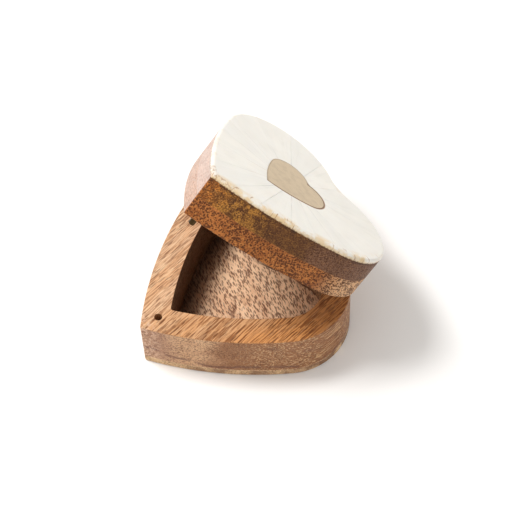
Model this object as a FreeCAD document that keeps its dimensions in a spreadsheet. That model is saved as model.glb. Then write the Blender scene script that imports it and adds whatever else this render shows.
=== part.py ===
import FreeCAD, Part
import math
import os
import Sketcher

# Heart-shaped hinged keepsake box. Millimetres, +Z up. The heart's point looks along -Y, its two
# lobes along +Y, and the origin is on the underside of the base, halfway between point and lobes.
# The lid stands open on its two rear hinges. It is drawn closed, then tipped back as one.

os.makedirs("parts", exist_ok=True)
doc = FreeCAD.newDocument("heart_box")

# ---------------------------------------------------------------- driving dimensions
DIMENSIONS = [
    # the heart outline: two lobes, two long side arcs that meet at the point, and a small notch
    ("lobe_centre_x", 20.0, "lobe centre, from the middle plane"),
    ("lobe_centre_y", 19.3, "lobe centre, from the origin"),
    ("lobe_radius", 30.7, "radius of each lobe"),
    ("side_radius", 178.0, "radius of each long side arc"),
    ("side_centre_x", 108.7, "side arc's centre, across the middle plane from its side"),
    ("notch_radius", 19.0, "hollow radius between the lobes"),
    ("tip_rounding", 1.0, "rounding of the upright edge at the point"),
    # base
    ("base_height", 31.2, "table to rim"),
    ("floor_thickness", 5.0, "floor board"),
    ("wall", 13.1, "width of the rim"),
    ("cavity_rounding", 1.5, "rounding of the cavity's corner at the point"),
    ("edge_rounding", 0.5, "worn edges of the wood"),
    ("foot_rounding", 0.9, "lower edge of the floor board"),
    ("peg_hole_y", -39.9, "peg and its hole, from the origin"),
    ("peg_hole_radius", 1.9, "hole in the rim for the peg"),
    ("peg_hole_depth", 7.5, "depth of that hole"),
    # lid
    ("parting_gap", 0.2, "gap between rim and closed lid"),
    ("lower_plate", 10.5, "lower board of the lid"),
    ("upper_plate", 10.9, "upper board of the lid"),
    ("bone_thickness", 2.2, "bone tiles"),
    ("bone_rounding", 1.5, "rounded upper rim of the bone"),
    ("seam", 0.06, "joint between two tiles"),
    ("seam_centre_x", 1.5, "point from which the seams spread"),
    ("seam_centre_y", 6.0, "point from which the seams spread"),
    ("wedge_radius", 120.0, "wedge that holds one tile, larger than the outline"),
    ("peg_radius", 1.5, "steel peg in the lid"),
    ("peg_length", 14.0, "whole peg"),
    ("peg_reach", 5.8, "peg below the lid"),
    ("peg_rounding", 0.5, "rounded end of the peg"),
    # brass heart
    ("inlay_scale", 0.338, "inlay outline against the lid outline"),
    ("inlay_shift", 5.8, "inlay outline, moved along Y"),
    ("inlay_thickness", 1.2, "brass sheet"),
    # hinges
    ("hinge_behind", 0.6, "hinge axis behind the lobes"),
    ("hinge_width", 12.0, "length of the barrel"),
    ("barrel_radius", 1.45, "knuckles"),
    ("hinge_pin_radius", 0.6, "hinge pin"),
    ("hinge_pin_play", 0.05, "play round the pin in the lid's knuckle"),
    ("hinge_pin_proud", 0.4, "pin standing out of the barrel at each end"),
    ("leaf_thickness", 0.8, "hinge leaf"),
    ("leaf_offset", 1.5, "hinge axis to the wood behind the leaf"),
    ("leaf_start", 1.7, "hinge axis to the near edge of the leaf"),
    ("leaf_height", 7.0, "leaf, across the hinge axis"),
    ("knuckle", 3.9, "length of one knuckle"),
    ("seat_play", 0.1, "play round the leaf in its seat"),
    ("screw_spacing", 7.2, "between the two screws of a leaf"),
    ("screw_radius", 0.6, "screw shank"),
    ("screw_head_radius", 1.15, "countersunk head"),
    ("screw_head_height", 0.55, "countersunk head"),
    ("screw_length", 6.0, "whole screw"),
    ("open_angle", 45.0, "lid angle, from closed"),
]

# Directions of the tile seams, in degrees anticlockwise from +X seen from above.
SEAM_DIRECTIONS = (10, 50, 67, 90, 114, 137, 159, 183, 208, 232, 255, 277, 293, 316, 336, 353)

sheet = doc.addObject("Spreadsheet::Sheet", "Dimensions")
sheet.set("A1", "dimension")
sheet.set("B1", "value (mm or degrees)")
sheet.set("C1", "meaning")
seams = [(f"seam_{k + 1:02d}_direction", value, "direction of a tile seam")
         for k, value in enumerate(SEAM_DIRECTIONS)]
for row, (alias, value, meaning) in enumerate(DIMENSIONS + seams, start=2):
    sheet.set(f"A{row}", alias)
    sheet.set(f"B{row}", str(value))
    sheet.set(f"C{row}", meaning)
    sheet.setAlias(f"B{row}", alias)
doc.recompute()


def dim(alias):
    """A driving dimension, read from the sheet."""
    return float(sheet.get(alias))


def bind(feature, **expressions):
    """Bind properties of a feature to expressions in the sheet's aliases, written as d.alias."""
    for name, expression in expressions.items():
        feature.setExpression(name, expression.replace("d.", "Dimensions."))


def vec(x, y, z):
    return FreeCAD.Vector(x, y, z)


# ---------------------------------------------------------------- places that follow from the sheet
rim_z = dim("base_height")
lid_z = rim_z + dim("parting_gap")
upper_plate_z = lid_z + dim("lower_plate")
bone_z = upper_plate_z + dim("upper_plate")
lobe_back_y = dim("lobe_centre_y") + dim("lobe_radius")
axis_y = lobe_back_y + dim("hinge_behind")
axis_z = rim_z + dim("parting_gap") / 2
hinge_sides = {"left": -dim("lobe_centre_x"), "right": dim("lobe_centre_x")}

ALONG_X = FreeCAD.Rotation(vec(0, 1, 0), 90)
ALONG_MINUS_Y = FreeCAD.Rotation(vec(1, 0, 0), 90)

# Tipping the lid back about the hinge axis, point end up.
LEAN = FreeCAD.Placement(vec(0, 0, 0), FreeCAD.Rotation(vec(-1, 0, 0), dim("open_angle")),
                         vec(0, axis_y, axis_z))
LEVEL = FreeCAD.Placement()


# ---------------------------------------------------------------- helpers
def new_body(label, z, lean=LEVEL):
    body = doc.addObject("PartDesign::Body", label)
    body.Label = label
    body.Placement = lean.multiply(FreeCAD.Placement(vec(0, 0, z), FreeCAD.Rotation()))
    return body


def plane_of(body, role):
    for item in body.Origin.OriginFeatures:
        if item.Role == role:
            return item
    raise RuntimeError(f"{body.Label} has no {role}")


def new_sketch(body, name):
    sketch = body.newObject("Sketcher::SketchObject", name)
    sketch.AttachmentSupport = [(plane_of(body, "XY_Plane"), "")]
    sketch.MapMode = "FlatFace"
    return sketch


def constrain(sketch, name, constraint, expression):
    index = sketch.addConstraint(constraint)
    sketch.renameConstraint(index, name)
    bind(sketch, **{f"Constraints.{name}": expression})


def heart_sketch(body, name, inset="0", scale="1", shift="0"):
    """The heart outline of five arcs. inset moves it inwards, scale and shift make a smaller one."""
    def number(text):
        return dim(text[2:]) if text.startswith("d.") else float(text)

    inward, factor, moved = number(inset), number(scale), number(shift)
    lobe_x = dim("lobe_centre_x") * factor
    lobe_y = dim("lobe_centre_y") * factor + moved
    side_x = dim("side_centre_x") * factor
    lobe_r = dim("lobe_radius") * factor - inward
    side_r = dim("side_radius") * factor - inward
    notch_r = dim("notch_radius") * factor + inward
    side_y = lobe_y + math.sqrt((side_r - lobe_r) ** 2 - (lobe_x + side_x) ** 2)
    notch_y = lobe_y + math.sqrt((lobe_r + notch_r) ** 2 - lobe_x ** 2)
    tip_y = side_y - math.sqrt(side_r ** 2 - side_x ** 2)
    tip_angle = math.atan2(tip_y - side_y, side_x)
    flank_angle = math.atan2(lobe_y - side_y, lobe_x + side_x)
    notch_angle = math.atan2(notch_y - lobe_y, -lobe_x)

    def arc(x, y, radius, start, end):
        circle = Part.Circle(vec(x, y, 0), vec(0, 0, 1), radius)
        return sketch.addGeometry(Part.ArcOfCircle(circle, start, end), False)

    sketch = new_sketch(body, name)
    half_turn = math.pi
    right_side = arc(-side_x, side_y, side_r, tip_angle, flank_angle)
    right_lobe = arc(lobe_x, lobe_y, lobe_r, flank_angle, notch_angle)
    notch = arc(0, notch_y, notch_r, -notch_angle, notch_angle - half_turn)
    left_lobe = arc(-lobe_x, lobe_y, lobe_r, half_turn - notch_angle, half_turn - flank_angle)
    left_side = arc(side_x, side_y, side_r, half_turn - flank_angle, half_turn - tip_angle)
    start, end, centre = 1, 2, 3
    origin, y_axis = -1, -2
    sketch.addConstraint([
        Sketcher.Constraint("Tangent", right_side, end, right_lobe, start),
        Sketcher.Constraint("Tangent", right_lobe, end, notch, end),
        Sketcher.Constraint("Tangent", notch, start, left_lobe, start),
        Sketcher.Constraint("Tangent", left_lobe, end, left_side, start),
        Sketcher.Constraint("Coincident", left_side, end, right_side, start),
        Sketcher.Constraint("PointOnObject", right_side, start, y_axis),
        Sketcher.Constraint("PointOnObject", notch, centre, y_axis),
        Sketcher.Constraint("Equal", right_lobe, left_lobe),
        Sketcher.Constraint("Equal", right_side, left_side),
    ])
    constrain(sketch, "lobe_radius", Sketcher.Constraint("Radius", right_lobe, lobe_r),
              f"d.lobe_radius * {scale} - {inset}")
    constrain(sketch, "side_radius", Sketcher.Constraint("Radius", right_side, side_r),
              f"d.side_radius * {scale} - {inset}")
    constrain(sketch, "notch_radius", Sketcher.Constraint("Radius", notch, notch_r),
              f"d.notch_radius * {scale} + {inset}")
    constrain(sketch, "lobe_x",
              Sketcher.Constraint("DistanceX", origin, start, right_lobe, centre, lobe_x),
              f"d.lobe_centre_x * {scale}")
    constrain(sketch, "side_x",
              Sketcher.Constraint("DistanceX", right_side, centre, origin, start, side_x),
              f"d.side_centre_x * {scale}")
    constrain(sketch, "right_lobe_y",
              Sketcher.Constraint("DistanceY", origin, start, right_lobe, centre, lobe_y),
              f"d.lobe_centre_y * {scale} + {shift}")
    constrain(sketch, "left_lobe_y",
              Sketcher.Constraint("DistanceY", origin, start, left_lobe, centre, lobe_y),
              f"d.lobe_centre_y * {scale} + {shift}")
    return sketch


def circle_sketch(body, name, y, radius):
    """A circle on the middle plane; y and radius are aliases."""
    sketch = new_sketch(body, name)
    circle = sketch.addGeometry(Part.Circle(vec(0, dim(y), 0), vec(0, 0, 1), dim(radius)), False)
    sketch.addConstraint(Sketcher.Constraint("PointOnObject", circle, 3, -2))
    constrain(sketch, "radius", Sketcher.Constraint("Radius", circle, dim(radius)), f"d.{radius}")
    constrain(sketch, "y", Sketcher.Constraint("DistanceY", circle, 3, -1, 1, -dim(y)), f"-d.{y}")
    return sketch


def pad(body, sketch, name, length):
    feature = body.newObject("PartDesign::Pad", name)
    feature.Profile = sketch
    bind(feature, Length=length)
    doc.recompute()
    return feature


def pocket(body, sketch, name, length, upward):
    """Cut a sketch out of the body, and make sure that it has cut something."""
    before = body.Shape.Volume
    feature = body.newObject("PartDesign::Pocket", name)
    feature.Profile = sketch
    feature.Reversed = upward
    bind(feature, Length=length)
    doc.recompute()
    if body.Shape.Volume > before - 1e-3:
        raise RuntimeError(f"{name} cuts nothing")
    return feature


def edge_names(shape, wanted):
    names = [f"Edge{k}" for k, edge in enumerate(shape.Edges, start=1) if wanted(edge)]
    if not names:
        raise RuntimeError("no edge found to round")
    return names


def round_edges(body, name, radius, wanted):
    feature = body.newObject("PartDesign::Fillet", name)
    base = body.Group[-2]
    feature.Base = (base, edge_names(base.Shape, wanted))
    bind(feature, Radius=radius)
    doc.recompute()
    return feature


def upright_at_point(edge):
    """The upright edge where the two long sides meet."""
    box = edge.BoundBox
    return box.XLength < 1e-6 and box.YLength < 1e-6 and abs(box.XMin) < 1e-6 and box.YMin < 0


def level_at(z):
    """Edges that lie level at height z in the body's own frame."""
    def wanted(edge):
        box = edge.BoundBox
        return box.ZLength < 1e-6 and abs(box.ZMin - z) < 1e-6
    return wanted


def heart_plate(label, z, height, lean=LEVEL):
    """A heart-shaped board whose upright edge at the point is a little rounded."""
    body = new_body(label, z, lean)
    pad(body, heart_sketch(body, f"{label}_outline"), f"{label}_board", height)
    round_edges(body, f"{label}_point", "d.tip_rounding", upright_at_point)
    return body


def cut_box(body, name, corner, length, width, height):
    """Cut a box out of the body. corner is in the body's frame; the sizes are expressions."""
    before = body.Shape.Volume
    box = body.newObject("PartDesign::SubtractiveBox", name)
    box.Placement.Base = corner
    bind(box, Length=length, Width=width, Height=height)
    doc.recompute()
    if body.Shape.Volume > before - 1e-3:
        raise RuntimeError(f"{name} cuts nothing")


def cut_screw_hole(body, name, mouth):
    """A pilot hole along -Y from its mouth, which is in the body's frame."""
    before = body.Shape.Volume
    hole = body.newObject("PartDesign::SubtractiveCylinder", name)
    hole.Placement = FreeCAD.Placement(mouth, ALONG_MINUS_Y)
    bind(hole, Radius="d.screw_radius", Height="d.screw_length - d.leaf_thickness + d.seat_play")
    doc.recompute()
    if body.Shape.Volume > before - 1e-3:
        raise RuntimeError(f"{name} cuts nothing")


def screw_places(side, direction):
    """Where the two screws of a leaf stand, in the closed box; direction is +1 for the lid's leaf."""
    z = axis_z + direction * (dim("leaf_start") + dim("leaf_height") / 2)
    half = dim("screw_spacing") / 2
    return [vec(hinge_sides[side] + offset, axis_y, z) for offset in (-half, half)]


def hinge_seats(body, body_z, direction):
    """Seats for both leaves and pilot holes for their screws, in the back of a board."""
    reach = dim("leaf_start") + dim("leaf_height") + dim("seat_play")
    bottom = axis_z - reach if direction < 0 else axis_z - dim("seat_play")
    for side, x in hinge_sides.items():
        corner = vec(x - dim("hinge_width") / 2 - dim("seat_play"), axis_y - dim("leaf_offset"),
                     bottom - body_z)
        cut_box(body, f"{body.Label}_{side}_seat", corner,
                "d.hinge_width + 2 * d.seat_play", "2 * d.leaf_offset",
                "d.leaf_start + d.leaf_height + 2 * d.seat_play")
        for k, place in enumerate(screw_places(side, direction), start=1):
            mouth = vec(place.x, axis_y - dim("leaf_offset"), place.z - body_z)
            cut_screw_hole(body, f"{body.Label}_{side}_screw_hole_{k}", mouth)


def box(name, corner, length, width, height):
    feature = doc.addObject("Part::Box", name)
    feature.Placement.Base = corner
    bind(feature, Length=length, Width=width, Height=height)
    return feature


def cylinder(name, place, axis_rotation, radius, height):
    feature = doc.addObject("Part::Cylinder", name)
    feature.Placement = FreeCAD.Placement(place, axis_rotation)
    bind(feature, Radius=radius, Height=height)
    return feature


def fuse(name, shapes):
    feature = doc.addObject("Part::MultiFuse", name)
    feature.Shapes = shapes
    return feature


def cut(name, base, tool):
    feature = doc.addObject("Part::Cut", name)
    feature.Base = base
    feature.Tool = tool
    return feature


parts = []

# ---------------------------------------------------------------- base
floor_board = heart_plate("floor_board", 0, "d.floor_thickness")
round_edges(floor_board, "floor_board_foot", "d.foot_rounding", level_at(0))
parts.append(floor_board)

base_ring = heart_plate("base_ring", dim("floor_thickness"), "d.base_height - d.floor_thickness")
ring_height = dim("base_height") - dim("floor_thickness")
round_edges(base_ring, "base_ring_rim", "d.edge_rounding", level_at(ring_height))
cavity = heart_sketch(base_ring, "base_ring_cavity_outline", inset="d.wall")
pocket(base_ring, cavity, "base_ring_cavity", "d.base_height", upward=True)
round_edges(base_ring, "base_ring_cavity_corner", "d.cavity_rounding", upright_at_point)
peg_mouth = circle_sketch(base_ring, "base_ring_peg_hole_outline", "peg_hole_y", "peg_hole_radius")
peg_mouth.AttachmentOffset.Base = vec(0, 0, ring_height)
bind(peg_mouth, **{"AttachmentOffset.Base.z": "d.base_height - d.floor_thickness"})
pocket(base_ring, peg_mouth, "base_ring_peg_hole", "d.peg_hole_depth", upward=False)
hinge_seats(base_ring, dim("floor_thickness"), direction=-1)
parts.append(base_ring)

# ---------------------------------------------------------------- lid boards
lower_plate = heart_plate("lid_lower_plate", lid_z, "d.lower_plate", LEAN)
round_edges(lower_plate, "lid_lower_plate_edge", "d.edge_rounding", level_at(0))
peg_seat = circle_sketch(lower_plate, "lid_lower_plate_peg_seat_outline", "peg_hole_y", "peg_radius")
pocket(lower_plate, peg_seat, "lid_lower_plate_peg_seat", "d.peg_length - d.peg_reach", upward=True)
hinge_seats(lower_plate, lid_z, direction=1)
parts.append(lower_plate)

upper_plate = heart_plate("lid_upper_plate", upper_plate_z, "d.upper_plate", LEAN)
parts.append(upper_plate)

lid_peg = new_body("lid_peg", lid_z - dim("peg_reach"), LEAN)
peg_outline = circle_sketch(lid_peg, "lid_peg_outline", "peg_hole_y", "peg_radius")
pad(lid_peg, peg_outline, "lid_peg_rod", "d.peg_length")
round_edges(lid_peg, "lid_peg_end", "d.peg_rounding", level_at(0))
parts.append(lid_peg)

# ---------------------------------------------------------------- brass heart
brass_heart = new_body("brass_heart", bone_z + dim("bone_thickness") - dim("inlay_thickness"), LEAN)
inlay_outline = heart_sketch(brass_heart, "brass_heart_outline",
                             scale="d.inlay_scale", shift="d.inlay_shift")
pad(brass_heart, inlay_outline, "brass_heart_sheet", "d.inlay_thickness")
parts.append(brass_heart)

# ---------------------------------------------------------------- bone tiles
# One heart of bone, sawn along the seams: each tile is what a wedge round the seams' centre holds.
bone_blank = heart_plate("bone_blank", bone_z, "d.bone_thickness")
round_edges(bone_blank, "bone_blank_rim", "d.bone_rounding", level_at(dim("bone_thickness")))
inlay_seat = heart_sketch(bone_blank, "bone_blank_inlay_seat_outline",
                          scale="d.inlay_scale", shift="d.inlay_shift")
bind(inlay_seat, **{"AttachmentOffset.Base.z": "d.bone_thickness"})
pocket(bone_blank, inlay_seat, "bone_blank_inlay_seat", "d.inlay_thickness", upward=False)

seam_names = [alias for alias, value, meaning in seams]
for k, (first, second) in enumerate(zip(seam_names, seam_names[1:] + seam_names[:1]), start=1):
    turn = (dim(second) - dim(first)) % 360
    middle = math.radians(dim(first) + turn / 2)
    back_off = dim("seam") / 2 / math.sin(math.radians(turn / 2))
    wedge = doc.addObject("Part::Cylinder", f"tile_wedge_{k:02d}")
    bind(wedge, Radius="d.wedge_radius", Height="2 * d.bone_thickness",
         Angle=f"mod(d.{second} - d.{first} + 360; 360)")
    wedge.Placement = FreeCAD.Placement(
        vec(dim("seam_centre_x") + back_off * math.cos(middle),
            dim("seam_centre_y") + back_off * math.sin(middle),
            bone_z - dim("bone_thickness") / 2),
        FreeCAD.Rotation(vec(0, 0, 1), dim(first)))
    tile = doc.addObject("Part::Common", f"bone_tile_{k:02d}")
    tile.Base = bone_blank
    tile.Tool = wedge
    tile.Placement = LEAN
    parts.append(tile)


# ---------------------------------------------------------------- hinges
def screw(name, place):
    """A countersunk screw along -Y whose head is level with the leaf's outer face."""
    face_y = axis_y - dim("leaf_offset") + dim("leaf_thickness")
    head = doc.addObject("Part::Cone", f"{name}_head")
    head.Placement = FreeCAD.Placement(vec(place.x, face_y, place.z), ALONG_MINUS_Y)
    bind(head, Radius1="d.screw_head_radius", Radius2="d.screw_radius", Height="d.screw_head_height")
    shank = cylinder(f"{name}_shank", vec(place.x, face_y, place.z), ALONG_MINUS_Y,
                     "d.screw_radius", "d.screw_length")
    return fuse(name, [head, shank])


def hinge_leaf(label, side, direction, lean):
    """A leaf, its knuckles round the axis, and its countersunk screw holes."""
    x = hinge_sides[side]
    inner_y = axis_y - dim("leaf_offset")
    near = axis_z + direction * dim("leaf_start")
    far = near + direction * dim("leaf_height")
    plate = box(f"{label}_plate", vec(x - dim("hinge_width") / 2, inner_y, min(near, far)),
                "d.hinge_width", "d.leaf_thickness", "d.leaf_height")
    if direction > 0:
        starts = [-dim("knuckle") / 2]
        bore = "d.hinge_pin_radius + d.hinge_pin_play"
    else:
        starts = [-dim("hinge_width") / 2, dim("hinge_width") / 2 - dim("knuckle")]
        bore = "d.hinge_pin_radius"
    pieces = [plate]
    for k, start in enumerate(starts, start=1):
        pieces.append(box(f"{label}_web_{k}", vec(x + start, inner_y, min(axis_z, near)),
                          "d.knuckle", "d.leaf_thickness", "d.leaf_start"))
        pieces.append(cylinder(f"{label}_knuckle_{k}", vec(x + start, axis_y, axis_z), ALONG_X,
                               "d.barrel_radius", "d.knuckle"))
    solid = fuse(f"{label}_solid", pieces)
    tools = [cylinder(f"{label}_bore", vec(x - dim("hinge_width"), axis_y, axis_z), ALONG_X,
                      bore, "2 * d.hinge_width")]
    for k, place in enumerate(screw_places(side, direction), start=1):
        tools.append(screw(f"{label}_screw_cut_{k}", place))
    leaf = cut(label, solid, fuse(f"{label}_holes", tools))
    leaf.Placement = lean
    parts.append(leaf)


for side, x in hinge_sides.items():
    hinge_leaf(f"{side}_hinge_base_leaf", side, -1, LEVEL)
    hinge_leaf(f"{side}_hinge_lid_leaf", side, 1, LEAN)
    start_x = x - dim("hinge_width") / 2 - dim("hinge_pin_proud")
    parts.append(cylinder(f"{side}_hinge_pin", vec(start_x, axis_y, axis_z), ALONG_X,
                          "d.hinge_pin_radius", "d.hinge_width + 2 * d.hinge_pin_proud"))

for label, direction, lean in (("base_hinge_screws", -1, LEVEL), ("lid_hinge_screws", 1, LEAN)):
    group = doc.addObject("Part::Compound", label)
    group.Links = [screw(f"{label}_{side}_{k}", place)
                   for side in hinge_sides
                   for k, place in enumerate(screw_places(side, direction), start=1)]
    group.Placement = lean
    parts.append(group)

# ---------------------------------------------------------------- checks and export
doc.recompute()
for item in doc.Objects:
    if "Invalid" in item.State or "Error" in item.State:
        raise RuntimeError(f"{item.Label} failed: {item.State}")
for part in parts:
    if part.Shape.isNull() or not part.Shape.isValid() or not part.Shape.Solids:
        raise RuntimeError(f"{part.Label} has no valid solid")
for part in parts:
    part.Shape.exportStep(f"parts/{part.Label}.step")
    extent = part.Shape.BoundBox
    print(f"{part.Label}: {len(part.Shape.Solids)} solid(s), {part.Shape.Volume:.1f} mm3, "
          f"x {extent.XMin:.2f}..{extent.XMax:.2f}, y {extent.YMin:.2f}..{extent.YMax:.2f}, "
          f"z {extent.ZMin:.2f}..{extent.ZMax:.2f}")
print(f"{len(parts)} sub-parts; hinge axis at y {axis_y:.2f}, z {axis_z:.2f}")
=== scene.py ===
"""Heart-shaped wooden box with a bone and brass lid, standing open. Metres, +Z up."""
import math

import bpy
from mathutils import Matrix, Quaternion, Vector


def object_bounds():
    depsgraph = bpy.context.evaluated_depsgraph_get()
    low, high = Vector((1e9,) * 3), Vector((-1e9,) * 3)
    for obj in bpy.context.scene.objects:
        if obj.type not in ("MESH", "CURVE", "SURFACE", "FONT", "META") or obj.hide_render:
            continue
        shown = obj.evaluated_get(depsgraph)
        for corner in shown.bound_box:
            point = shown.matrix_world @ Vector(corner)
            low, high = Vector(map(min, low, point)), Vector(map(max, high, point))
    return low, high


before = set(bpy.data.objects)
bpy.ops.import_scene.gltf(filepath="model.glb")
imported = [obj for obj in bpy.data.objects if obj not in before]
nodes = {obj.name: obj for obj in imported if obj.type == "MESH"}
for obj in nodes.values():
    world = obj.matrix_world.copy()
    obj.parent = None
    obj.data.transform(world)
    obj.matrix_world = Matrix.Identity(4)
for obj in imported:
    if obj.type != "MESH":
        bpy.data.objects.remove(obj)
LOWEST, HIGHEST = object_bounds()
TILES = [name for name in sorted(nodes) if name.startswith("bone_tile_")]
MM = 0.001

# The lid leans back by this much about the hinge axis; its materials work in the closed lid's frame.
LEAN = math.radians(45)
HINGE = Vector((0.0, 50.6 * MM, 31.3 * MM))
RIM_Z = 31.2 * MM        # top of the base
WALL = 13.1 * MM         # thickness of the base's wall
FLOOR_Z = 5.0 * MM       # top of the floor board
BONE_Z = 52.8 * MM       # underside of the tiles, lid closed
PEG_HOLE_Y = -39.9 * MM
INLAY_SCALE = 0.338      # the brass heart against the outline
INLAY_SHIFT = 5.8 * MM

# The outline's right half: a lobe, and a long side curve that meets it smoothly.
LOBE_RADIUS = 30.7 * MM
LOBE_CENTRE = Vector((20.0 * MM, 19.3 * MM, 0.0))
SIDE_RADIUS = 178.0 * MM
SIDE_X = -108.7 * MM
SIDE_BELOW = math.sqrt((SIDE_RADIUS - LOBE_RADIUS) ** 2 - (LOBE_CENTRE.x - SIDE_X) ** 2)
SIDE_CENTRE = Vector((SIDE_X, LOBE_CENTRE.y + SIDE_BELOW, 0.0))
# from the lobe towards the tip
ALONG_SIDE = Vector((0, 0, 1)).cross(SIDE_CENTRE - LOBE_CENTRE).normalized()
SEAM_CENTRE = Vector((1.5 * MM, 6.0 * MM, 0.0))

# Camera, lamp and room. The lamp's place is right, away and up as the viewer sees it.
CAMERA_PLACE = (0.3910, -0.2220, 0.7534)
CAMERA_TARGET = (-0.0159, 0.0275, 0.0)
CAMERA_LENS = 123.5      # mm, on a sensor 36 mm wide
CAMERA_ROLL = math.radians(-2.72)
VIEW_AZIMUTH = math.radians(58.49)
KEY_PLACE = (-0.48, 0.17, 1.05)
KEY_SIZE = (0.34, 0.34)
KEY_WATTS = 9.6
KEY_COLOUR = (1.0, 0.99, 0.975)
LAMP_TARGET = (0.0, 0.01, 0.03)
ROOM_COLOUR = (1.0, 0.975, 0.942, 1.0)
ROOM_STRENGTH = 0.72
STUDIO_FLOOR = 3.0       # metres from the middle to each side


# ------------------------------------------------------------------ camera and light
def aim(thing, place, target):
    thing.location = place
    thing.rotation_mode = "QUATERNION"
    thing.rotation_quaternion = (Vector(target) - Vector(place)).to_track_quat("-Z", "Y")


def make_camera():
    data = bpy.data.cameras.new("camera")
    data.sensor_width = 36.0
    data.lens = CAMERA_LENS
    data.clip_start = 0.01
    data.clip_end = 20.0
    camera = bpy.data.objects.new("camera", data)
    bpy.context.scene.collection.objects.link(camera)
    aim(camera, CAMERA_PLACE, CAMERA_TARGET)
    roll = Quaternion((0, 0, 1), CAMERA_ROLL)
    camera.rotation_quaternion = camera.rotation_quaternion @ roll
    bpy.context.scene.camera = camera


def seen(right, away, up):
    """A place given as the viewer sees it: metres to the right, away and up."""
    c, s = math.cos(VIEW_AZIMUTH), math.sin(VIEW_AZIMUTH)
    return Vector((right * c - away * s, right * s + away * c, up))


def area_light(name, place, size, watts, colour):
    data = bpy.data.lights.new(name, "AREA")
    data.shape = "RECTANGLE"
    data.size, data.size_y = size
    data.energy = watts
    data.color = colour
    lamp = bpy.data.objects.new(name, data)
    bpy.context.scene.collection.objects.link(lamp)
    aim(lamp, place, LAMP_TARGET)


def light_the_room():
    world = bpy.data.worlds.new("room")
    world.use_nodes = True
    sky = world.node_tree.nodes["Background"]
    sky.inputs["Color"].default_value = ROOM_COLOUR
    sky.inputs["Strength"].default_value = ROOM_STRENGTH
    bpy.context.scene.world = world
    area_light("key", seen(*KEY_PLACE), KEY_SIZE, KEY_WATTS, KEY_COLOUR)
    view = bpy.context.scene.view_settings
    view.view_transform = "Standard"
    view.look = "None"


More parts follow.
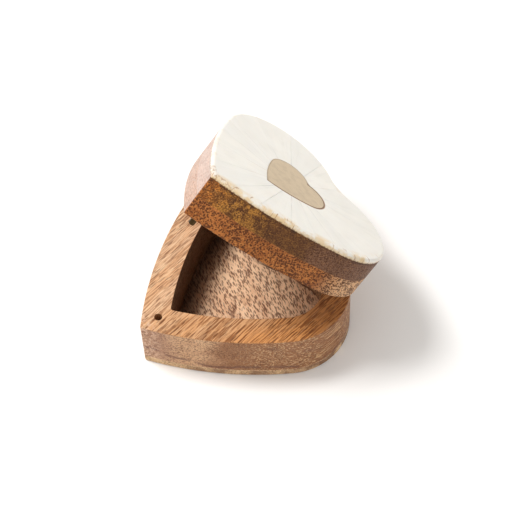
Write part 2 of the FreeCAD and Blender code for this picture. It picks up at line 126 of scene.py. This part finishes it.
# ------------------------------------------------------------------ shader helpers
class Shader:
    """A material, with short ways to add linked nodes to it."""

    def __init__(self, name, lid=False):
        self.material = bpy.data.materials.new(name)
        self.material.use_nodes = True
        self.tree = self.material.node_tree
        self.bsdf = self.tree.nodes["Principled BSDF"]
        self.where = self.add("ShaderNodeTexCoord", out=3)
        if lid:
            shifted = self.mapped(self.where, shift=-HINGE)
            turned = self.mapped(shifted, rotation=(LEAN, 0, 0))
            self.where = self.mapped(turned, shift=HINGE)
        self.x, self.y, self.z = self.split(self.where)

    def put(self, socket, value):
        if isinstance(value, bpy.types.NodeSocket):
            self.tree.links.new(value, socket)
        elif socket.type == "RGBA":
            socket.default_value = (*value, 1.0)
        else:
            socket.default_value = value

    def add(self, kind, values=None, out=0, **settings):
        node = self.tree.nodes.new(kind)
        for key, value in settings.items():
            setattr(node, key, value)
        for key, value in (values or {}).items():
            self.put(node.inputs[key], value)
        return node.outputs[out]

    def split(self, vector):
        node = self.tree.nodes.new("ShaderNodeSeparateXYZ")
        self.put(node.inputs[0], vector)
        return node.outputs

    def maths(self, operation, a, b=0.0):
        return self.add("ShaderNodeMath", {0: a, 1: b}, operation=operation)

    def times(self, *values):
        total = values[0]
        for value in values[1:]:
            total = self.maths("MULTIPLY", total, value)
        return total

    def ramp(self, value, low, high, start=0.0, end=1.0):
        """Smooth step of value from low to high, giving start to end."""
        if low > high:
            low, high, start, end = high, low, end, start
        return self.add("ShaderNodeMapRange", {"Value": value, "From Min": low, "From Max": high,
                                               "To Min": start, "To Max": end},
                        interpolation_type="SMOOTHSTEP")

    def mix(self, factor, a, b):
        node = self.tree.nodes.new("ShaderNodeMix")
        node.data_type = "RGBA"
        self.put(node.inputs[0], factor)
        self.put(node.inputs[6], a)
        self.put(node.inputs[7], b)
        return node.outputs[2]

    def mapped(self, vector, rotation=(0, 0, 0), scale=(1, 1, 1), shift=(0, 0, 0)):
        return self.add("ShaderNodeMapping", {"Vector": vector, "Rotation": rotation,
                                              "Scale": scale, "Location": shift})

    def joined(self, x, y, z=0.0):
        return self.add("ShaderNodeCombineXYZ", {0: x, 1: y, 2: z})

    def noise(self, vector, size, detail=2.0, rough=0.55, out=0):
        """Noise whose features are about size metres across."""
        return self.add("ShaderNodeTexNoise", {"Vector": vector, "Scale": 1.0 / size,
                                               "Detail": detail, "Roughness": rough}, out=out)

    def vector(self, operation, a, b, out=1):
        return self.add("ShaderNodeVectorMath", {0: a, 1: b}, out=out, operation=operation)

    def inset(self, sideways, along=None):
        """How far in from the outline a place is; sideways is x, or -x for the left half."""
        here = self.joined(sideways, self.y if along is None else along)
        from_side = self.maths("SUBTRACT", SIDE_RADIUS, self.vector("DISTANCE", here, SIDE_CENTRE))
        from_lobe = self.maths("SUBTRACT", LOBE_RADIUS, self.vector("DISTANCE", here, LOBE_CENTRE))
        from_centre = self.vector("SUBTRACT", here, LOBE_CENTRE, out=0)
        past_lobe = self.vector("DOT_PRODUCT", from_centre, ALONG_SIDE)
        on_side = self.ramp(past_lobe, -0.5 * MM, 0.5 * MM)
        change = self.times(on_side, self.maths("SUBTRACT", from_side, from_lobe))
        return self.maths("ADD", from_lobe, change)

    def left_faces(self):
        """1 on faces turned to the left of the box, fading to 0 on all others."""
        facing = self.split(self.add("ShaderNodeTexCoord", out=1))[0]
        return self.ramp(facing, -0.15, -0.70)

    def inlay_inset(self):
        """How far in from the brass heart's outline, in metres of the full-size outline."""
        sideways = self.maths("DIVIDE", self.maths("ABSOLUTE", self.x), INLAY_SCALE)
        along = self.maths("DIVIDE", self.maths("SUBTRACT", self.y, INLAY_SHIFT), INLAY_SCALE)
        return self.inset(sideways, along)

    def edges(self, radius):
        """1 on sharp edges, fading to 0 within radius metres of them."""
        rounded = self.add("ShaderNodeBevel", {"Radius": radius}, samples=6)
        flat = self.add("ShaderNodeNewGeometry", out=1)
        return self.ramp(self.vector("DOT_PRODUCT", rounded, flat), 0.998, 0.90)

    def finish(self, colour, roughness, height=None, depth=0.1 * MM, strength=0.5, **sockets):
        self.put(self.bsdf.inputs["Base Color"], colour)
        self.put(self.bsdf.inputs["Roughness"], roughness)
        for name, value in sockets.items():
            self.put(self.bsdf.inputs[name.replace("_", " ")], value)
        if height is not None:
            self.put(self.bsdf.inputs["Normal"],
                     self.add("ShaderNodeBump", {"Height": height, "Distance": depth,
                                                 "Strength": strength}))
        return self.material


class Wood(Shader):
    """Wood cut from a solid block whose fibres run at grain degrees from +X."""

    def __init__(self, name, grain, seed, lid=False):
        super().__init__(name, lid)
        along = self.mapped(self.where, rotation=(0, 0, -math.radians(grain)))
        along = self.mapped(along, shift=(seed, 2 * seed, 3 * seed))
        sway = self.noise(self.mapped(along, scale=(0.4, 1, 1)), 22 * MM, out=1)
        sway = self.mapped(sway, scale=(0, 3.0 * MM, 3.0 * MM))
        self.along = self.vector("ADD", along, sway, out=0)
        self.hollow = 0.0

    def figure(self, size, stretch, low, high, detail=2.0, rough=0.6):
        """A mask of marks size metres across and stretch times longer along the grain."""
        stretched = self.mapped(self.along, scale=(1.0 / stretch, 1, 1))
        return self.ramp(self.noise(stretched, size, detail, rough), low, high)

    def pores(self, size, stretch, radius, vary=0.10):
        """A mask of separate pores size metres apart; radius is a share of size."""
        stretched = self.mapped(self.along, scale=(1.0 / stretch, 1, 1))
        apart = self.add("ShaderNodeTexVoronoi", {"Vector": stretched, "Scale": 1.0 / size})
        drift = self.ramp(self.noise(self.along, 6 * MM, 3), 0.35, 0.65, vary, -vary)
        return self.ramp(self.maths("ADD", apart, drift), radius, 0.6 * radius)

    def marks(self, colour, tint, mask, strength, sunk=0.0):
        """Mix tint in where mask is 1; sunk is how far the marks lie below the surface."""
        if sunk:
            self.hollow = self.maths("ADD", self.hollow, self.times(mask, sunk))
        return self.mix(self.times(mask, strength), colour, tint)

    def wandering(self, size, reach):
        """The place along X, pushed to and fro by noise, for soft changes across the box."""
        swing = self.maths("SUBTRACT", self.noise(self.where, size, 3), 0.5)
        return self.maths("ADD", self.x, self.times(swing, reach))

    def patchy(self, size, low=0.38, high=0.62):
        """A mask of broad patches, used to break up other marks."""
        return self.ramp(self.noise(self.where, size, 3), low, high)

    def done(self, colour, wear, rough, coat=0.12):
        """Finish the wood; wear is the colour that shows along its edges."""
        worn = self.ramp(self.noise(self.where, 3 * MM, 4), 0.35, 0.65, 0.15, 1.0)
        edge = self.times(self.edges(0.8 * MM), worn)
        colour = self.mix(self.times(edge, 0.40), colour, wear)
        fine = self.noise(self.mapped(self.along, scale=(0.08, 1, 1)), 0.35 * MM, 2)
        height = self.maths("SUBTRACT", self.times(fine, 0.35), self.hollow)
        sheen = self.maths("ADD", self.ramp(fine, 0.3, 0.7, rough - 0.05, rough + 0.06),
                           self.times(self.hollow, 0.12))
        return self.finish(colour, sheen, height, depth=0.12 * MM, strength=0.5,
                           Specular_IOR_Level=0.16, Coat_Weight=coat, Coat_Roughness=0.12)


# ------------------------------------------------------------------ materials
# Colours are linear RGB, chosen by comparing broad areas. The studio light alone
# doesn't give all of the object's light and shade, so some is painted on. It is marked
# "painted shade" or "painted light" below, and it stays on the object in every view.
def rim_material():
    s = Wood("rim_wood", grain=102, seed=0.31)
    drift = s.wandering(18 * MM, 26 * MM)
    pale, tan, warm = (0.71, 0.455, 0.28), (0.64, 0.36, 0.182), (0.66, 0.295, 0.098)
    brown, pore = (0.21, 0.070, 0.020), (0.10, 0.030, 0.010)
    top = s.mix(s.ramp(drift, -12 * MM, 14 * MM), pale, tan)
    top = s.mix(s.ramp(drift, 18 * MM, 44 * MM), top, warm)
    top = s.mix(s.times(s.figure(6 * MM, 6, 0.42, 0.60), 0.35), top, warm)
    # painted shade: the top of the right lobe is darker where it lies under the lid
    under_lid_shade = s.times(s.ramp(s.x, 28 * MM, 46 * MM), s.ramp(s.y, 8 * MM, 20 * MM))
    top = s.mix(s.times(under_lid_shade, 0.42), top, (0.26, 0.09, 0.026))
    depth = s.ramp(drift, -16 * MM, 26 * MM, 0.50, 0.80)
    top = s.marks(top, brown, s.figure(0.66 * MM, 26, 0.515, 0.56), depth, sunk=0.5)
    top = s.marks(top, brown, s.figure(0.55 * MM, 18, 0.52, 0.60), 0.42, sunk=0.3)
    top = s.marks(top, pore, s.pores(0.95 * MM, 7, 0.40), 0.58, sunk=0.9)
    fleck = s.times(s.figure(0.8 * MM, 12, 0.56, 0.63), s.ramp(drift, 30 * MM, -10 * MM, 0.2, 1.0))
    top = s.marks(top, (0.90, 0.64, 0.40), fleck, 0.45)
    # outer wall: greyer, speckled where the fibres are cut across, with broad dark bands
    side = s.mix(s.figure(8 * MM, 4, 0.38, 0.64), (0.70, 0.425, 0.235), (0.60, 0.34, 0.185))
    side = s.mix(s.ramp(drift, 19 * MM, 33 * MM, 0.0, 0.90), side, (0.27, 0.100, 0.031))
    side = s.marks(side, (0.17, 0.070, 0.036), s.figure(0.9 * MM, 9, 0.51, 0.59), 0.50, sunk=0.3)
    side = s.marks(side, (0.12, 0.045, 0.020), s.pores(0.85 * MM, 2.4, 0.46), 0.66, sunk=0.7)
    side = s.marks(side, (0.82, 0.50, 0.255), s.times(s.figure(0.55 * MM, 3, 0.54, 0.62),
                   s.ramp(drift, 28 * MM, 0.0, 0.30, 1.0)), 0.50)
    long_streak = s.times(s.figure(0.8 * MM, 15, 0.53, 0.60), s.ramp(s.x, 26 * MM, 42 * MM))
    side = s.mix(s.times(long_streak, 0.50), side, (0.86, 0.56, 0.29))
    side = s.mix(s.times(s.ramp(s.y, -36 * MM, -45 * MM), 0.50), side, (0.27, 0.115, 0.082))
    # a dark line wanders down from the point to the foot, with broader bands above it
    wave = s.noise(s.mapped(s.where, scale=(1, 1, 0)), 26 * MM, 3)
    line = s.maths("ADD", s.ramp(wave, 0.3, 0.7, 4.2 * MM, 8.2 * MM),
                   s.ramp(s.y, -22 * MM, -50 * MM, 0.0, 7 * MM))
    level = s.maths("ABSOLUTE", s.maths("SUBTRACT", s.z, line))
    side = s.mix(s.times(s.ramp(level, 1.7 * MM, 0.1 * MM), s.patchy(10 * MM, 0.34, 0.50), 0.66),
                 side, (0.13, 0.052, 0.038))
    second = s.maths("ABSOLUTE", s.maths("SUBTRACT", s.z, s.ramp(wave, 0.3, 0.7, 17 * MM, 25 * MM)))
    side = s.mix(s.times(s.ramp(second, 2.6 * MM, 0.3 * MM), s.patchy(12 * MM, 0.46, 0.60), 0.40),
                 side, (0.16, 0.068, 0.046))
    # painted shade: the wall inside the cavity is darker, most of all on the left
    from_middle = s.mapped(s.where, shift=(0, -5 * MM, 0), scale=(1, 1, 0))
    outward = s.vector("DOT_PRODUCT", s.add("ShaderNodeTexCoord", out=1), from_middle)
    dim_wall = s.times(s.ramp(outward, -1 * MM, -3 * MM), s.ramp(s.x, 6 * MM, -8 * MM, 0.25, 0.82))
    side = s.mix(dim_wall, side, (0.045, 0.014, 0.005))
    # the peg's hole shows raw wood
    from_hole = s.vector("DISTANCE", s.joined(s.x, s.y), (0.0, PEG_HOLE_Y, 0.0))
    side = s.mix(s.ramp(from_hole, 2.6 * MM, 2.2 * MM), side, (0.42, 0.21, 0.09))
    colour = s.mix(s.ramp(s.z, RIM_Z - 0.55 * MM, RIM_Z - 0.15 * MM), side, top)
    # rough, worn patch at the point
    point = s.times(s.ramp(s.y, -42.5 * MM, -47.5 * MM), s.patchy(1.5 * MM, 0.45, 0.58))
    colour = s.mix(s.times(point, 0.65), colour, (0.80, 0.54, 0.38))
    crumbs = s.times(s.ramp(s.y, -43.0 * MM, -47.0 * MM), s.pores(1.1 * MM, 1.2, 0.38), 0.7)
    colour = s.mix(crumbs, colour, (0.20, 0.080, 0.040))
    s.hollow = s.maths("ADD", s.hollow, s.times(point, 1.2))
    return s.done(colour, wear=(0.46, 0.21, 0.09), rough=0.50)


def floor_material():
    s = Wood("floor_wood", grain=167, seed=0.77)
    top = s.mix(s.figure(7 * MM, 3, 0.40, 0.64), (0.98, 0.66, 0.42), (0.82, 0.50, 0.30))
    top = s.marks(top, (0.20, 0.085, 0.055), s.pores(0.75 * MM, 3.4, 0.44), 0.45, sunk=0.4)
    top = s.marks(top, (0.12, 0.042, 0.024), s.pores(0.78 * MM, 3.6, 0.54, 0.03), 0.78, sunk=1.2)
    top = s.marks(top, (1.00, 0.76, 0.55), s.figure(0.9 * MM, 4, 0.57, 0.64), 0.35)
    # painted shade: the floor darkens towards the left wall
    from_wall = s.maths("SUBTRACT", s.inset(s.maths("MULTIPLY", s.x, -1.0)), WALL)
    shade = s.times(s.ramp(from_wall, 15 * MM, 1.0 * MM, 0.0, 0.90), s.ramp(s.x, 4 * MM, -4 * MM))
    top = s.mix(shade, top, (0.030, 0.010, 0.004))
    side = s.mix(s.figure(8 * MM, 4, 0.38, 0.64), (0.70, 0.46, 0.25), (0.50, 0.30, 0.16))
    side = s.marks(side, (0.15, 0.062, 0.030), s.pores(1.00 * MM, 2.4, 0.42), 0.62, sunk=0.7)
    side = s.marks(side, (0.90, 0.68, 0.44), s.figure(0.70 * MM, 3, 0.55, 0.62), 0.50)
    # painted shade: the floor board's side is darker in patches on its right half
    foot = s.times(s.ramp(s.x, 4 * MM, 30 * MM), s.patchy(8 * MM), 0.75)
    side = s.mix(foot, side, (0.16, 0.065, 0.030))
    colour = s.mix(s.ramp(s.z, FLOOR_Z - 0.5 * MM, FLOOR_Z - 0.05 * MM), side, top)
    return s.done(colour, wear=(0.28, 0.14, 0.07), rough=0.55, coat=0.05)


def lower_material():
    s = Wood("lid_lower_wood", grain=-45, seed=1.4, lid=True)
    colour = s.mix(s.figure(9 * MM, 4, 0.38, 0.64), (0.44, 0.150, 0.036), (0.29, 0.087, 0.019))
    pale = s.ramp(s.maths("ADD", s.x, s.times(s.y, 0.35)), 44 * MM, 58 * MM)
    colour = s.mix(s.times(pale, 0.85), colour, (0.78, 0.48, 0.26))
    colour = s.marks(colour, (0.70, 0.30, 0.075), s.figure(0.75 * MM, 3, 0.54, 0.61), 0.45)
    colour = s.marks(colour, (0.11, 0.032, 0.010), s.pores(0.60 * MM, 2.0, 0.50), 0.50, sunk=0.5)
    colour = s.marks(colour, (0.060, 0.016, 0.005), s.pores(0.90 * MM, 2.4, 0.60, 0.07), 0.84, sunk=1.0)
    # painted light: the left faces are paler
    left = s.left_faces()
    colour = s.mix(s.times(left, 0.72), colour, (0.66, 0.49, 0.405))
    colour = s.marks(colour, (0.34, 0.16, 0.10), s.pores(0.95 * MM, 2.0, 0.55), s.times(left, 0.5))
    return s.done(colour, wear=(0.46, 0.19, 0.07), rough=0.48, coat=0.10)


def upper_material():
    s = Wood("lid_upper_wood", grain=-30, seed=2.6, lid=True)
    drift = s.wandering(16 * MM, 20 * MM)
    orange, olive = (0.50, 0.158, 0.027), (0.40, 0.175, 0.030)
    dark, mauve = (0.080, 0.026, 0.007), (0.20, 0.094, 0.052)
    colour = s.mix(s.ramp(drift, 2 * MM, 12 * MM), orange, olive)
    cloud = s.figure(3.2 * MM, 4.0, 0.44, 0.58, 3)
    colour = s.mix(s.times(cloud, s.ramp(drift, 0 * MM, 14 * MM, 0.45, 0.88)), colour, dark)
    colour = s.mix(s.ramp(drift, 18 * MM, 28 * MM, 0.0, 0.80), colour, (0.108, 0.041, 0.013))
    colour = s.mix(s.ramp(drift, 34 * MM, 44 * MM, 0.0, 0.9), colour, mauve)
    colour = s.marks(colour, dark, s.figure(0.75 * MM, 16, 0.515, 0.58), 0.70, sunk=0.4)
    fleck = s.times(s.figure(0.75 * MM, 5, 0.55, 0.62), s.ramp(drift, 34 * MM, 8 * MM, 0.35, 1.0))
    colour = s.marks(colour, (0.58, 0.27, 0.075), fleck, 0.45)
    colour = s.marks(colour, (0.045, 0.014, 0.005), s.pores(0.78 * MM, 3.0, 0.52, 0.08), 0.62, sunk=0.8)
    # darker along the top edge, under the bone
    under_bone_band = s.times(s.ramp(s.z, BONE_Z - 1.8 * MM, BONE_Z - 0.2 * MM), s.patchy(5 * MM, 0.38, 0.60))
    colour = s.mix(s.times(under_bone_band, 0.75), colour, (0.045, 0.020, 0.010))
    # painted light: the left faces are paler
    left = s.left_faces()
    colour = s.mix(s.times(left, 0.78), colour, (0.66, 0.53, 0.47))
    colour = s.marks(colour, (0.36, 0.18, 0.13), s.pores(0.95 * MM, 2.0, 0.52), s.times(left, 0.45))
    return s.done(colour, wear=(0.34, 0.14, 0.045), rough=0.48, coat=0.10)


def bone_material():
    s = Shader("bone", lid=True)
    tone = s.add("ShaderNodeObjectInfo", out=5)
    across = s.mapped(s.where, shift=-SEAM_CENTRE)
    ax, ay, _ = s.split(across)
    angle = s.maths("ARCTAN2", ay, ax)
    radius = s.add("ShaderNodeVectorMath", {0: s.joined(ax, ay)}, out=1, operation="LENGTH")
    cloud = s.noise(s.where, 11 * MM, 3)
    colour = s.mix(s.ramp(cloud, 0.35, 0.7), (0.84, 0.815, 0.755), (0.80, 0.77, 0.705))
    colour = s.mix(s.times(tone, 0.45), colour, (0.80, 0.785, 0.74))
    # growth lines of the bone, running outwards
    rays = s.joined(s.times(angle, 30 * MM), s.times(radius, 0.10), s.times(tone, 0.1))
    lines = s.ramp(s.noise(rays, 2.0 * MM, 3), 0.52, 0.72)
    broad = s.ramp(s.noise(rays, 7 * MM, 2), 0.47, 0.60)
    colour = s.mix(s.times(lines, s.ramp(cloud, 0.3, 0.6, 0.05, 0.24)), colour, (0.68, 0.665, 0.63))
    colour = s.mix(s.times(broad, 0.30), colour, (0.74, 0.73, 0.685))
    # seams: a soft grey or rusty line along a tile's upper edges, here and there
    seam = s.times(s.edges(0.6 * MM), s.ramp(radius, 36 * MM, 22 * MM),
                   s.ramp(cloud, 0.38, 0.62, 0.12, 0.55))
    rust = s.ramp(s.noise(s.where, 9 * MM, 2), 0.52, 0.60)
    colour = s.mix(seam, colour, s.mix(rust, (0.56, 0.555, 0.53), (0.66, 0.50, 0.42)))
    # stain and dirt creeping up from the glue line, most along the near edge
    creep = s.noise(s.where, 6 * MM, 4, 0.65)
    reach = s.maths("SUBTRACT", s.z, s.ramp(creep, 0.42, 0.70, 0.0, 2.4 * MM))
    near = s.times(s.ramp(s.y, 34 * MM, 20 * MM), s.ramp(s.x, -8 * MM, 2 * MM))
    inset = s.inset(s.maths("ABSOLUTE", s.x))
    stain = s.times(s.ramp(reach, BONE_Z + 1.5 * MM, BONE_Z - 0.2 * MM),
                    s.ramp(inset, 2.6 * MM, 1.2 * MM), s.maths("ADD", s.times(near, 0.7), 0.3))
    colour = s.mix(s.times(stain, 0.72), colour, (0.66, 0.46, 0.22))
    blotch = s.ramp(s.noise(s.where, 9 * MM, 5, 0.65), 0.42, 0.60)
    edge = s.times(s.ramp(inset, 5.6 * MM, 1.0 * MM), near, blotch)
    colour = s.mix(s.times(edge, 0.72), colour, (0.72, 0.53, 0.28))
    crack = s.times(s.ramp(s.noise(rays, 0.9 * MM, 2), 0.65, 0.69), near,
                    s.ramp(inset, 3.4 * MM, 2.0 * MM))
    colour = s.mix(s.times(crack, 0.8), colour, (0.36, 0.19, 0.08))
    chewed = s.times(s.ramp(s.y, -42 * MM, -46 * MM), s.ramp(inset, 2.4 * MM, 0.8 * MM),
                     s.ramp(s.noise(s.where, 1.3 * MM, 3), 0.46, 0.58))
    colour = s.mix(s.times(chewed, 0.7), colour, (0.40, 0.22, 0.10))
    dirt = s.times(s.ramp(s.z, BONE_Z + 0.7 * MM, BONE_Z + 0.05 * MM),
                   s.ramp(s.noise(s.where, 1.2 * MM, 3), 0.42, 0.58))
    colour = s.mix(s.times(dirt, 0.85), colour, (0.16, 0.075, 0.030))
    # dark glue round the brass heart, with painted shade of the gap that is strongest along the near
    # side
    gap = s.times(s.ramp(s.inlay_inset(), -1.8 * MM, -0.5 * MM), s.ramp(s.x, -3 * MM, 3 * MM, 0.1, 0.9))
    colour = s.mix(gap, colour, (0.34, 0.16, 0.05))
    height = s.maths("SUBTRACT", s.times(cloud, 0.6), s.times(dirt, 0.6))
    height = s.maths("SUBTRACT", height, s.times(lines, 0.05))
    return s.finish(colour, s.ramp(lines, 0, 1, 0.30, 0.42), height, depth=0.25 * MM, strength=0.3,
                    Subsurface_Weight=0.12, Subsurface_Radius=(0.003, 0.0022, 0.0014),
                    Subsurface_Scale=0.4)


def metal_material(name, base, dull, rough, line, lid=True, inlaid=False):
    """Brushed metal; line is the colour along its edges: tarnish on loose parts, glue and painted shade
    round an inlay.
    """
    s = Shader(name, lid)
    brushed = s.noise(s.mapped(s.where, rotation=(0, 0, 0.5), scale=(0.03, 1, 1)), 0.25 * MM, 2)
    spots = s.noise(s.where, 3 * MM, 4)
    colour = s.mix(s.ramp(spots, 0.42, 0.70, 0.0, 0.55), base, dull)
    colour = s.mix(s.ramp(brushed, 0.35, 0.70, 0.0, 0.35), colour, dull)
    if inlaid:
        # dark glue shows in the gap round the inlay, with painted shade of the gap, most along the near
        # side
        edge = s.times(s.ramp(s.inlay_inset(), 2.2 * MM, 1.0 * MM),
                       s.ramp(s.x, -3 * MM, 3 * MM, 0.35, 0.95))
    else:
        edge = s.times(s.edges(0.4 * MM), 0.5)
    colour = s.mix(edge, colour, line)
    return s.finish(colour, s.ramp(brushed, 0.3, 0.7, rough - 0.05, rough + 0.08), brushed,
                    depth=0.03 * MM, strength=0.4, Metallic=1.0)


def dress():
    tarnish = (0.16, 0.09, 0.04)
    hinge = metal_material("hinge_brass", (0.62, 0.47, 0.22), (0.40, 0.28, 0.12), 0.36, tarnish,
                           lid=False)
    # painted shade: the peg metal is a dark bronze darkened further, as the peg sits in shade between
    # lid and base; the hinge pins share it
    peg = metal_material("peg_metal", (0.09, 0.055, 0.022), (0.03, 0.018, 0.008), 0.30, tarnish,
                         lid=False)
    inlay = metal_material("brass_inlay", (0.70, 0.575, 0.41), (0.58, 0.47, 0.335), 0.46,
                           (0.15, 0.060, 0.014), inlaid=True)
    bone = bone_material()
    looks = {"floor_board": floor_material(), "base_ring": rim_material(),
             "lid_lower_plate": lower_material(), "lid_upper_plate": upper_material(),
             "brass_heart": inlay, "lid_peg": peg, "left_hinge_pin": peg, "right_hinge_pin": peg}
    for name, thing in nodes.items():
        thing.data.materials.clear()
        thing.data.materials.append(looks.get(name) or (bone if name in TILES else hinge))


def lay_the_sheet():
    size = STUDIO_FLOOR
    mesh = bpy.data.meshes.new("studio_floor")
    corners = [(-size, -size, 0), (size, -size, 0), (size, size, 0), (-size, size, 0)]
    mesh.from_pydata(corners, [], [(0, 1, 2, 3)])
    sheet = bpy.data.objects.new("studio_floor", mesh)
    sheet.location.z = LOWEST.z
    bpy.context.scene.collection.objects.link(sheet)
    s = Shader("studio_floor")
    colour = s.mix(s.noise(s.where, 0.12), (0.93, 0.925, 0.92), (0.94, 0.94, 0.94))
    mesh.materials.append(s.finish(colour, 0.85))


make_camera()
light_the_room()
lay_the_sheet()
dress()
